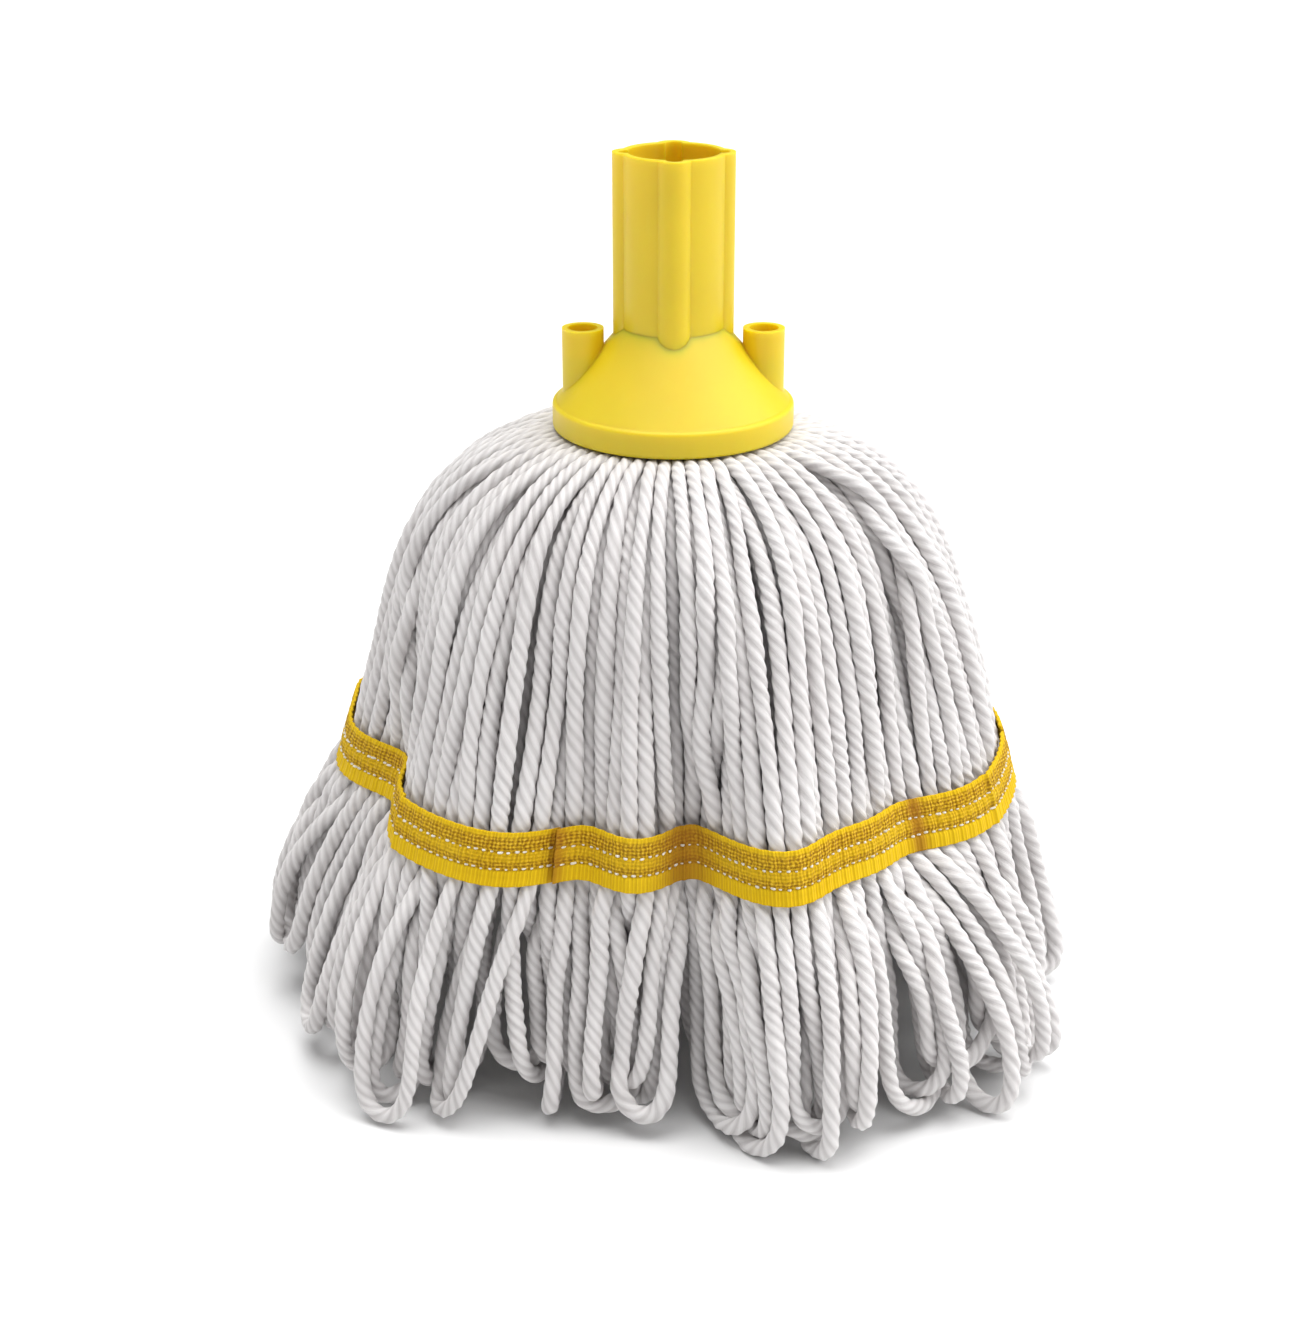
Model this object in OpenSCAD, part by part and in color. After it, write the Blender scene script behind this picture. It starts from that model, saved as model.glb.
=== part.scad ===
// Socket string mop head.
// A moulded handle socket and a clamp plate grip the middle of a strip of twisted yarn. The yarn fans out
// from under the socket's rim and hangs as a front flap and a back flap, and a tape sewn across each flap
// keeps its strands side by side. Millimetres, +Z up, front towards -Y. The origin is on the floor under
// the handle axis, and the yarn just touches the floor.

/* [Handle socket] */
// Radius of the bore that takes the handle's spigot
bore_r = 13.5; // [11:0.1:15]
// Depth of the bore
bore_depth = 66; // [40:1:90]
// Wall of the tube
tube_wall = 1.8; // [1.2:0.1:2.5]
// Number of ribs along the tube
lobe_count = 4; // [2:1:5]
// Radius of a rib
lobe_r = 5; // [3:0.1:6]
// How far the ribs reach from the handle axis
lobe_reach = 17.8; // [16.5:0.1:20]
// Radius of the channel inside each rib
channel_r = 2.5; // [1:0.1:2.8]

/* [Cone and rim] */
// Outer radius of the rim
rim_r = 36; // [34:0.5:40]
// Height of the rim's straight side
rim_h = 8; // [5:0.5:12]
// Rounding of the rim's two corners
rim_round = 1.2; // [0.5:0.1:1.2]
// Height of the cone from the rim's top to the tube
cone_h = 22.4; // [18:0.1:28]
// Wall of the cone and rim
shell_wall = 2.4; // [2.4:0.1:3]
// Thickness of the floor at the bottom of the bore
web_t = 2.5; // [1.5:0.1:4]

/* [Screw bosses] */
// Distance of each boss from the handle axis
boss_x = 26.7; // [25:0.1:28]
// Outer radius of a boss
boss_r = 6.2; // [5.5:0.1:6.8]
// Radius of the hole through a boss
boss_bore_r = 4.4; // [3:0.1:4.8]
// Height of a boss above the rim's top
boss_h = 21.5; // [16:0.5:24]

/* [Clamp plate] */
// Radius of the clamp plate
plate_r = 32; // [32:0.5:33]
// Thickness of the clamp plate
plate_t = 3; // [2:0.1:4]
// Thickness of the yarn gripped between the socket and the plate
grip_t = 11; // [9:0.5:13]

/* [Yarn skirt] */
// Height of the rim's underside above the floor
rim_z = 192; // [170:1:220]
// Reach of the yarn to each side, at the floor
skirt_x = 134; // [110:1:150]
// Reach of the yarn to the front and to the back, at the floor
skirt_y = 106; // [90:1:130]
// Number of hanks that each flap's strands are gathered in
hank_count = 8; // [4:1:12]
// Thickness of the yarn where it leaves the rim
yarn_t_rim = 8; // [5:0.5:8]
// Thickness of the yarn halfway down
yarn_t_mid = 6; // [5:0.5:10]
// Thickness of the yarn at the looped hem
yarn_t_hem = 15; // [8:0.5:20]
// Clearance between two soft pieces
soft_gap = 0.3; // [0.2:0.05:0.6]
// Clearance of the tape outside the yarn
tape_gap = 0.8; // [0.6:0.1:1.2]

/* [Tape] */
// Width of the tape
tape_w = 16; // [12:0.5:22]
// Thickness of the tape
tape_t = 1.2; // [0.8:0.1:2]
// Height of the tape's middle above the floor
tape_z = 85.5; // [70:0.5:110]
// Azimuth of the front tape's left end, counted anticlockwise from +X
tape_start = 160; // [150:1:180]
// Angle that the front tape covers
tape_sweep = 197; // [180:1:200]
// Diameter of the sewing thread
thread_d = 0.8; // [0.5:0.1:1.2]

/* [Hidden] */
$fn = 96;
cut = 1;             // how far a cutting tool runs past the face it opens

plastic = "gold";
yarn = "gainsboro";
tape_yellow = "goldenrod";
thread_white = "white";

// Heights of the moulding, from the floor up
rim_top = rim_z + rim_h;
cone_top = rim_top + cone_h;
bore_floor = rim_z + 15;
tube_foot = bore_floor - web_t;
tube_gap = 0.05;
mouth_z = bore_floor + bore_depth;
boss_top = rim_top + boss_h;
boss_foot = rim_z + 2;

// Radii of the moulding
tube_r = bore_r + tube_wall;
lobe_at = lobe_reach - lobe_r;
channel_at = bore_r + 0.1;
rim_inner = rim_r - shell_wall;

// Clamp plate and the gripped yarn
grip_top = boss_foot - soft_gap;
plate_top = rim_z + 1.7 - grip_t;
post_r = boss_bore_r - 0.1;
post_top = boss_top - 8;
post_hole_r = post_r + soft_gap;
centre_tape_t = 0.8;
core_foot = plate_top + centre_tape_t + 2 * soft_gap;

// The skirt's outer surface: one curve from the rim to the floor, swung around the handle axis
skirt_r0 = rim_r + 1.2;
skirt_top = rim_z - 0.8;
shoulder_r = 95;
waist_r = 88;
waist_z = 110;
depth_ratio = (skirt_y - skirt_r0) / (skirt_x - skirt_r0);
curve_r = [skirt_r0, shoulder_r, waist_r, skirt_x];
curve_z = [skirt_top, skirt_top, waist_z, 0];

// Folds all around, where the sewn tape buckles: [azimuth, depth, half width in degrees].
// A negative depth is a bulge.
folds = [[20, 6, 8], [62, 8, 9], [84, -6, 8], [108, 12, 8], [135, 5, 8], [160, -6, 8],
         [197, 16, 12], [250, 11, 9], [274, 14, 8], [290, -9, 8], [320, 8, 10]];
fold_from = 0.3;     // place along the curve where a fold begins
fold_full = 0.7;     // place along the curve where it has its full depth
fold_hem = 0.7;      // share of its depth that it keeps at the hem

// Sewing: place of each seam across the tape, from its upper edge
seam_upper = 0.36;
seam_lower = 0.68;
seam_gap = 0.3;      // clearance of the thread over the tape
tape_margin = 1;     // angle left free at each end of a tape

hank_rings = 14;     // cross-sections along a hank
hank_steps = 8;      // steps across a hank
tape_steps = 72;     // steps along a tape
back_start = tape_start + tape_sweep;
back_sweep = 360 - tape_sweep;

// Cubic curve through its end points p[0] and p[3], and its slope
function cubic(p, t) = p[0] * pow(1 - t, 3) + 3 * p[1] * t * pow(1 - t, 2)
    + 3 * p[2] * t * t * (1 - t) + p[3] * pow(t, 3);
function cubic_slope(p, t) = 3 * (p[1] - p[0]) * pow(1 - t, 2) + 6 * (p[2] - p[1]) * t * (1 - t)
    + 3 * (p[3] - p[2]) * t * t;

function smooth(x) = let (u = min(1, max(0, x))) u * u * (3 - 2 * u);
function sum(list, i = 0) = i < len(list) ? list[i] + sum(list, i + 1) : 0;

// Share of the side reach that the yarn has at an azimuth
function spread(az) = depth_ratio + (1 - depth_ratio) * pow(cos(az), 2);

// Signed angle from one azimuth to another, from -180 to 180
function turn(from, to) = (to - from + 540) % 360 - 180;

// How far the folds draw the surface in
function fold_depth(az, t) = smooth((t - fold_from) / (fold_full - fold_from))
    * (1 - (1 - fold_hem) * smooth((t - fold_full) / (1 - fold_full)))
    * sum([for (f = folds) f[1] * exp(-pow(turn(f[0], az) / f[2], 2))]);

// Point of the skirt at an azimuth and a place t along the curve, sunk below the outer surface
function skirt(az, t, sunk) =
    let (dr = cubic_slope(curve_r, t), dz = cubic_slope(curve_z, t), n = norm([dr, dz]),
         reach = skirt_r0 + (cubic(curve_r, t) - skirt_r0) * spread(az) - fold_depth(az, t),
         r = reach + sunk * dz / n,
         z = max(0, cubic(curve_z, t) - sunk * dr / n))
    [r * cos(az), r * sin(az), z];

// Thickness of the yarn along the curve
function yarn_t(t) = t < 0.5 ? yarn_t_rim + (yarn_t_mid - yarn_t_rim) * smooth(2 * t)
    : yarn_t_mid + (yarn_t_hem - yarn_t_mid) * smooth((t - 0.72) / 0.28);

// Place along the curve that lies at a height, found by halving
function place_at(z, lo = 0, hi = 1, n = 20) = let (mid = (lo + hi) / 2)
    n == 0 ? mid : cubic(curve_z, mid) > z ? place_at(z, mid, hi, n - 1) : place_at(z, lo, mid, n - 1);

// Closed solid through rings that all have the same number of points
module loft(rings) {
    m = len(rings[0]);
    last = len(rings) - 1;
    points = [for (ring = rings) each ring];
    sides = [for (i = [0:last - 1], j = [0:m - 1]) let (k = (j + 1) % m)
        each [[i * m + j, i * m + k, (i + 1) * m + j], [i * m + k, (i + 1) * m + k, (i + 1) * m + j]]];
    caps = [for (i = [0:m / 2 - 2]) each [
        [i, m - 1 - i, i + 1], [i + 1, m - 1 - i, m - 2 - i],
        [last * m + i, last * m + i + 1, last * m + m - 1 - i],
        [last * m + i + 1, last * m + m - 2 - i, last * m + m - 1 - i]]];
    polyhedron(points, concat(sides, caps), convexity = 6);
}

// One hank: the strands between two azimuths, from the rim to the hem
module hank(from, to) {
    color(yarn) loft([for (i = [0:hank_rings - 1])
        let (t = i / (hank_rings - 1), side = soft_gap / 2 / cubic(curve_r, t) * 180 / PI / spread(from),
             a = from + side, b = to - side,
             azimuths = [for (j = [0:hank_steps]) a + (b - a) * j / hank_steps])
        concat([for (az = azimuths) skirt(az, t, 0)],
               [for (j = [hank_steps:-1:0]) skirt(azimuths[j], t, yarn_t(t))])]);
}

// Band on the skirt between two azimuths and two heights, between two distances outside the yarn
module band(from, to, z_high, z_low, inner, outer) {
    t_high = place_at(z_high);
    t_low = place_at(z_low);
    loft([for (i = [0:tape_steps]) let (az = from + (to - from) * i / tape_steps)
        [skirt(az, t_high, -outer), skirt(az, t_low, -outer),
         skirt(az, t_low, -inner), skirt(az, t_high, -inner)]]);
}

module tape(start, sweep) {
    color(tape_yellow)
        band(start + tape_margin, start + sweep - tape_margin, tape_z + tape_w / 2, tape_z - tape_w / 2,
             tape_gap, tape_gap + tape_t);
}

// One row of stitches, as the line of thread that stands on the tape
module seam(start, sweep, place) {
    z = tape_z + tape_w * (0.5 - place);
    surface = tape_gap + tape_t + seam_gap;
    color(thread_white)
        band(start + tape_margin, start + sweep - tape_margin, z + thread_d / 2, z - thread_d / 2,
             surface, surface + thread_d / 2);
}

// Places of the two bosses
module at_bosses() {
    for (side = [-1, 1]) translate([side * boss_x, 0, 0]) children();
}

// Places of the ribs around the tube
module at_lobes(distance) {
    for (i = [0:lobe_count - 1]) rotate(i * 360 / lobe_count) translate([distance, 0, 0]) children();
}

module rod(r, low, high) {
    translate([0, 0, low]) cylinder(r = r, h = high - low);
}

// Rim with rounded corners, as a ring
module rim_band() {
    rotate_extrude() {
        translate([rim_inner, rim_z]) square([shell_wall - rim_round, rim_h]);
        translate([rim_inner, rim_z + rim_round]) square([shell_wall, rim_h - 2 * rim_round]);
        for (z = [rim_z + rim_round, rim_top - rim_round])
            translate([rim_r - rim_round, z]) circle(r = rim_round, $fn = 48);
    }
}

module cone_shell() {
    slope = (rim_r - rim_round - tube_r) / cone_h;
    inner_r = rim_inner - (tube_foot - rim_top + shell_wall) * slope;
    rotate_extrude() difference() {
        polygon([[0, rim_z + rim_h / 2], [rim_r - rim_round, rim_z + rim_h / 2], [rim_r - rim_round, rim_top],
                 [tube_r, cone_top], [0, cone_top]]);
        polygon([[0, rim_z], [rim_inner, rim_z], [rim_inner, rim_top - shell_wall],
                 [inner_r, tube_foot], [0, tube_foot]]);
    }
}

// The tube with its ribs, as a solid
module tube_solid(grow, low, high) {
    rod(tube_r + grow, low, high);
    at_lobes(lobe_at) rod(lobe_r + grow, low, high);
}

// The moulding's lower part: rim, cone and bosses around the tube
module socket() {
    color(plastic) difference() {
        union() {
            rim_band();
            cone_shell();
            at_bosses() rod(boss_r, boss_foot, boss_top);
        }
        tube_solid(tube_gap, tube_foot - cut, cone_top + cut);
        at_bosses() rod(boss_bore_r, boss_foot - cut, boss_top + cut);
    }
}

// The moulding's upper part, one piece with the lower one: the tube that takes the handle
module handle_tube() {
    color(plastic) difference() {
        tube_solid(0, tube_foot, mouth_z);
        rod(bore_r, bore_floor, mouth_z + cut);
        at_lobes(channel_at) rod(channel_r, bore_floor, mouth_z + cut);
    }
}

module clamp_plate() {
    color(plastic) {
        rod(plate_r, plate_top - plate_t, plate_top);
        at_bosses() rod(post_r, plate_top - 1, post_top);
    }
}

module yarn_core() {
    color(yarn) difference() {
        union() {
            rod(rim_r, core_foot, rim_z - soft_gap);
            rod(rim_inner - soft_gap, core_foot, grip_top);
        }
        at_bosses() rod(post_hole_r, core_foot - cut, grip_top + cut);
    }
}

module centre_tape() {
    color(tape_yellow) difference() {
        translate([-plate_r, -tape_w / 2, plate_top + soft_gap]) cube([2 * plate_r, tape_w, centre_tape_t]);
        at_bosses() rod(post_hole_r, plate_top, plate_top + 2);
    }
}

module front_tape() { tape(tape_start, tape_sweep); }
module front_stitches_upper() { seam(tape_start, tape_sweep, seam_upper); }
module front_stitches_lower() { seam(tape_start, tape_sweep, seam_lower); }
module back_tape() { tape(back_start, back_sweep); }
module back_stitches_upper() { seam(back_start, back_sweep, seam_upper); }
module back_stitches_lower() { seam(back_start, back_sweep, seam_lower); }

module front_hank(i) {
    step = tape_sweep / hank_count;
    hank(tape_start + (i - 1) * step, tape_start + i * step);
}

module back_hank(i) {
    step = back_sweep / hank_count;
    hank(back_start + (i - 1) * step, back_start + i * step);
}

socket();
handle_tube();
clamp_plate();
yarn_core();
centre_tape();
front_tape();
front_stitches_upper();
front_stitches_lower();
back_tape();
back_stitches_upper();
back_stitches_lower();
for (i = [1:hank_count]) front_hank(i);
for (i = [1:hank_count]) back_hank(i);
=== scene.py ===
"""String mop head: strands of twisted yarn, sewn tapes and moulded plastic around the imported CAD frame.

The route of every strand is worked out in millimetres on the same skirt surface as the CAD hanks, relaxed so
that no two strands lie in each other, and turned into a four-ply tube. Meshes are made in metres.
"""

import math

import bpy
import numpy as np
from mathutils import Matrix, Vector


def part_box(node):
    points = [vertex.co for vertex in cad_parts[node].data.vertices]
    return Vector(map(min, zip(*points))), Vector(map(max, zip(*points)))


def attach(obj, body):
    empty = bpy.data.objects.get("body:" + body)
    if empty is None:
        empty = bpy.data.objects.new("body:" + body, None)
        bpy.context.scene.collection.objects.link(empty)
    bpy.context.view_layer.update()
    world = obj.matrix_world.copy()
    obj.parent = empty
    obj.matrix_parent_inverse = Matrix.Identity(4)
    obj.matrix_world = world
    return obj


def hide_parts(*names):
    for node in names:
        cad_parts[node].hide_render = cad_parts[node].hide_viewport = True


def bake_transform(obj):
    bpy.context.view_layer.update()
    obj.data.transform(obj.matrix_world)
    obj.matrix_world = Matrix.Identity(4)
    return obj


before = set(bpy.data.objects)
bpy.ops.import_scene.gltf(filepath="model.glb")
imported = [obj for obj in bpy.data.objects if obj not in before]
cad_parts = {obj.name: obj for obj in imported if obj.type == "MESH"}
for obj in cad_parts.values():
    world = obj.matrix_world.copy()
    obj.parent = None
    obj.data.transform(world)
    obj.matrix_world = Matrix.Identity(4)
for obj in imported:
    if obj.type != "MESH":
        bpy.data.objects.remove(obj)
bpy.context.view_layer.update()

MM = 0.001
RNG = np.random.default_rng(7)

# ---------------------------------------------------------------- sizes, in millimetres, from the frame
SOCKET_LOW, SOCKET_HIGH = (np.array(corner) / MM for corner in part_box("socket"))
CENTRE_TAPE_GAP = 0.3       # between the clamp plate and the middle tape
PLATE_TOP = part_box("centre_tape")[0].z / MM - CENTRE_TAPE_GAP
RIM_R = SOCKET_HIGH[0]
RIM_Z = SOCKET_LOW[2]

# The skirt's outer surface, as in the CAD part: one cubic curve swung around the handle axis
CURVE_R = (RIM_R + 1.2, 95.0, 88.0, 134.0)
CURVE_Z = (RIM_Z - 0.8, RIM_Z - 0.8, 110.0, 0.0)
FRONT_REACH = 106.0
DEPTH_RATIO = (FRONT_REACH - CURVE_R[0]) / (CURVE_R[3] - CURVE_R[0])
MEAN_REACH = 0.87           # the mean reach around the head, as a share of the reach at its sides

# Folds of the skirt: azimuth, depth, half width in degrees. They start and are deepest at these places on the
# curve, and keep this share of their depth at the hem
FOLDS = ((20, 6, 8), (62, 8, 9), (84, -6, 8), (108, 12, 8), (135, 5, 8), (160, -6, 8),
         (197, 16, 12), (250, 11, 9), (274, 14, 8), (290, -9, 8), (320, 8, 10))
FOLD_FROM, FOLD_FULL = 0.3, 0.7
FOLD_HEM = 0.7
MOST_SLANT = 1.7            # most that a fold's slant lengthens a step through the skirt's wall

# Flaps: first azimuth, angle covered, number of strands, number of CAD hanks
FLAPS = {"front": (160.0, 197.0, 96), "back": (357.0, 163.0, 82)}
INNER = {"front": 36, "back": 28}       # strands that hang inside, behind the others
HANKS = 8

# Yarn
YARN_D = 5.1
THINNEST, THICKEST = 0.96, 1.08     # as shares of that diameter
RIM_SHARE = 0.82            # share of its diameter that the yarn keeps where the rim squeezes it
SQUEEZED_FROM = 150.0       # height at which the squeeze starts, and how much higher it is full
SQUEEZE_RISE = 40.0
PLIES = 4
LAY = 17.6                  # length of one full turn of the plies
RING = 1.25                 # distance between two cross-sections of a strand
SIDES = 20                  # points around a cross-section

# The strands lie in three layers by turns, with a sparse fourth one inside. For each layer: the depth under
# the rim, halfway down and under the tape, how much deeper a strand may lie halfway down, and how far it
# moves aside there
RIM_DEPTH = (1.6, 5.2, 8.8, 12.4)
MIDDLE_DEPTH = (1.8, 2.6, 8.0, 12.5)
SEWN_DEPTH = (2.4, 2.9, 6.4, 11.4)
MIDDLE_SPARE = (1.0, 4.2, 1.5, 1.0)
ASIDE = (0.0, 1.7, 0.9, 0.0)

# The outer and the inner course of strands: the layers of the strands by turns, the layers of the loops at
# the hem by turns, and how many strands may lie between the two legs of a loop
COURSES = (((0, 1, 2), (0, 2, 1, 0, 1), (0, 1, 1, 2, 3, 4)), ((3,), (3,), (0, 0, 1)))

# Distance from the axis at which a strand leaves the gripped yarn: further out beside the posts and in the
# deeper layers
LEAVE_R, LEAVE_R_FAR = 29.0, 34.0
POST_SIDE = 0.25            # sine of the azimuth up to which a strand lies beside a post

# Loops at the hem
TURN_R = (8.0, 9.8)         # least and greatest radius that a loop's turn starts with
LEG_POINTS, TURN_POINTS = 26, 17
LOOP_SUNK = 2.5             # depth below the skirt at which a loop's width is measured
TAPE_R = 95.0               # about the skirt's radius at the tape

# Azimuths at which the hem parts between two bunches of loops, half the width of a parting in degrees, and
# how strongly the loops lean away from it
PARTINGS = (28, 76, 120, 152, 196, 244, 275, 311, 343)
PARTING_HALF = 8
LEAN = 9.0

# Relaxing of the strands, round by round
BEAD = 3.2                  # distance between two points of a strand
ROUNDS = 260
PUSH = 0.42                 # share of an overlap that each of two beads is pushed
MOST_PUSH = 1.2
STRAIGHTEN = 0.16           # share of a bend that is taken out
TO_ROUTE, TO_SEAM = 0.012, 0.12     # share of the way back to its route that a bead is drawn, free and sewn
SEWN_FREEDOM = 0.2          # how freely a bead under the tape moves

# Where the hem reaches further out or less far than the CAD skirt: azimuth, distance, half width in degrees
FLARES = ((40, 3, 20), (100, -4, 16), (140, 4, 16), (176, 7, 14), (210, 6, 13), (242, -6, 12), (266, -6, 12),
          (308, 10, 15), (326, 13, 11), (348, -7, 12))
SHORTER = ((180, 13, 12), (352, 4, 12))      # where the loops hang less low: azimuth, distance, half width

# Tape
TAPE_W, TAPE_T, TAPE_GAP = 16.0, 0.9, 0.3
TAPE_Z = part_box("front_tape")[0].z / MM + (TAPE_W / 2 + 0.15)       # height of its middle
SEAMS = (0.36, 0.68)        # where its rows of stitches run, as shares of its width
STITCH, STITCH_GAP, THREAD_D = 1.4, 1.05, 0.74
PLEATS = ((52, 1.8), (113, 2.4), (214, 1.4), (246, 3.8), (272, 2.0), (338, 1.1))      # azimuth, height
# Painted shade that darkens the tape brown at its folds and pleats
PAINTED_FOLD_SHADES = ((52, 2.5), (113, 3.0), (246, 2.6), (272, 9.0), (322, 3.0))      # azimuth, half width


def smooth(x):
    u = np.clip(x, 0, 1)
    return u * u * (3 - 2 * u)


def cubic(p, t):
    return p[0] * (1 - t) ** 3 + 3 * p[1] * t * (1 - t) ** 2 + 3 * p[2] * t * t * (1 - t) + p[3] * t ** 3


def cubic_slope(p, t):
    return (3 * (p[1] - p[0]) * (1 - t) ** 2 + 6 * (p[2] - p[1]) * t * (1 - t) + 3 * (p[3] - p[2]) * t * t)


def kept_share(z):
    """Share of its diameter that the yarn keeps at a height."""
    return 1 - (1 - RIM_SHARE) * smooth((z - SQUEEZED_FROM) / SQUEEZE_RISE)


def off_azimuth(az, at):
    """How far az is past at, from -180 to 180 degrees."""
    return (az - at + 540) % 360 - 180


def bumps(az, table):
    """Sum of soft bumps around the head: each has an azimuth, a height and a half width in degrees."""
    return sum(high * np.exp(-(off_azimuth(az, at) / half) ** 2) for at, high, half in table)


def fold_depth(az, t):
    grown = smooth((t - FOLD_FROM) / (FOLD_FULL - FOLD_FROM))
    kept = 1 - (1 - FOLD_HEM) * smooth((t - FOLD_FULL) / (1 - FOLD_FULL))
    return grown * kept * bumps(az, FOLDS)


def wall_slant(az, t, radius):
    """How much longer a step through the skirt's wall is when taken towards the axis: more on a fold."""
    slope = 0.0
    for at, depth, half in FOLDS:
        x = off_azimuth(az, at) / half
        slope = slope + 2 * x / half * depth * np.exp(-x * x)
    slope = np.degrees(slope * smooth((t - FOLD_FROM) / (FOLD_FULL - FOLD_FROM)) / radius)
    return np.minimum(np.hypot(1, slope), MOST_SLANT)


def skirt(az, t, sunk, inward=0.0):
    """Points of the skirt at azimuths and places t along its curve, sunk below its surface or inward."""
    az, t, sunk, inward = np.broadcast_arrays(*(np.asarray(value, float) for value in (az, t, sunk, inward)))
    dr, dz = cubic_slope(CURVE_R, t), cubic_slope(CURVE_Z, t)
    n = np.hypot(dr, dz)
    spread = DEPTH_RATIO + (1 - DEPTH_RATIO) * np.cos(np.radians(az)) ** 2
    reach = CURVE_R[0] + (cubic(CURVE_R, t) - CURVE_R[0]) * spread - fold_depth(az, t)
    r = reach + sunk * wall_slant(az, t, reach) * dz / n - inward
    z = cubic(CURVE_Z, t) - sunk * dr / n
    return np.stack([r * np.cos(np.radians(az)), r * np.sin(np.radians(az)), z], -1)


def lengths_along(points):
    return np.concatenate([[0], np.cumsum(np.linalg.norm(np.diff(points, axis=0), axis=1))])


# Places along the skirt's curve by distance from the rim, and by height
PLACES = np.linspace(0, 1, 601)
RUN = lengths_along(np.stack([cubic(CURVE_R, PLACES) * MEAN_REACH, cubic(CURVE_Z, PLACES)], -1))


def place_at_height(z):
    return np.interp(-np.asarray(z, float), -cubic(CURVE_Z, PLACES), PLACES)


def place_at_run(run):
    return np.interp(run, RUN, PLACES)


TAPE_PLACE = float(place_at_height(TAPE_Z))
TAPE_RUN = float(np.interp(TAPE_PLACE, PLACES, RUN))
HEM_RUN = RUN[-1] - TAPE_RUN


# ---------------------------------------------------------------- routes of the strands
def strand_azimuths(start, sweep, count):
    """Azimuth of each strand where it leaves the rim and where it is sewn to the tape."""
    az = np.linspace(start + 1.5, start + sweep - 1.5, 500)
    run = lengths_along(skirt(az, TAPE_PLACE, YARN_D / 2))
    at_tape = np.interp(np.linspace(0, run[-1], count), run, az)
    at_rim = np.linspace(start + 1.5, start + sweep - 1.5, count)
    return at_rim, at_tape


def loop_pairs(count, further):
    """Which two strands of a flap join in one loop at the hem: near neighbours, in any order.

    Each one joins a later strand, past as many others as one of the values of further."""
    pairs, first = [], 0
    while first < count:
        size = min(int(RNG.choice((6, 6, 8))), count - first)
        left = list(range(first, first + size))
        while left:
            a = left.pop(0)
            b = left.pop(min(len(left) - 1, int(RNG.choice(further))))
            pairs.append((a, b))
        first += size
    return pairs


def waver(t, amount, phases):
    """A strand's slow sideways wandering between the rim and the tape, in millimetres."""
    envelope = np.sin(math.pi * np.clip(t / TAPE_PLACE, 0, 1))
    return amount * envelope * (np.sin(5.1 * t + phases[0]) + 0.6 * np.sin(11.7 * t + phases[1]))


def upper_strand(layer, at_rim, at_tape):
    """One strand from under the rim down to the tape."""
    t = np.linspace(0, TAPE_PLACE, 46)
    share = t / TAPE_PLACE
    az = at_rim + (at_tape - at_rim) * smooth(share / 0.95)
    clump = (2.6 * np.sin(np.radians(21 * at_tape) + 3 * t)
             + 2.0 * np.sin(np.radians(12 * at_tape) + 2 - 2 * t))
    aside = ASIDE[layer] * smooth(share / 0.5) + clump * np.sin(math.pi * share ** 1.5) ** 0.8
    aside = aside + waver(t, RNG.uniform(0.4, 2.3), RNG.uniform(0, 6.28, 2))
    az = az + np.degrees(aside / (cubic(CURVE_R, t) * MEAN_REACH))
    rim, middle, sewn = RIM_DEPTH[layer], MIDDLE_DEPTH[layer], SEWN_DEPTH[layer]
    middle = middle + RNG.uniform(0, MIDDLE_SPARE[layer])
    sunk = rim + (middle - rim) * smooth(share / 0.55) + (sewn - middle) * smooth((share - 0.68) / 0.32)
    sunk = sunk + 0.8 * np.exp(-((t - TAPE_PLACE) / 0.05) ** 2)
    sunk = sunk + waver(t, RNG.uniform(0.1, 0.9), RNG.uniform(0, 6.28, 2))
    if layer < 2 and RNG.random() < 0.12:
        sunk = sunk - RNG.uniform(2.5, 5.0) * np.sin(math.pi * smooth((share - 0.35) / 0.65)) ** 2
    outside = skirt(az, t, sunk)
    beside_post = abs(math.sin(math.radians(at_rim))) < POST_SIDE
    inner = LEAVE_R_FAR if beside_post or layer > 1 else LEAVE_R
    start = outside[0]
    steps = np.arange(inner, math.hypot(start[0], start[1]) - 1.0, 2.0)
    direction = start[:2] / np.linalg.norm(start[:2])
    inside = np.column_stack([steps[:, None] * direction, np.full(len(steps), start[2])])
    return np.vstack([inside, outside])


def bunched(az):
    """How far a loop at an azimuth leans away from the nearest parting of the hem, in millimetres."""
    away = [off_azimuth(az, at) / PARTING_HALF for at in PARTINGS]
    return sum(LEAN * x * math.exp(-x * x) for x in away)


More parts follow.
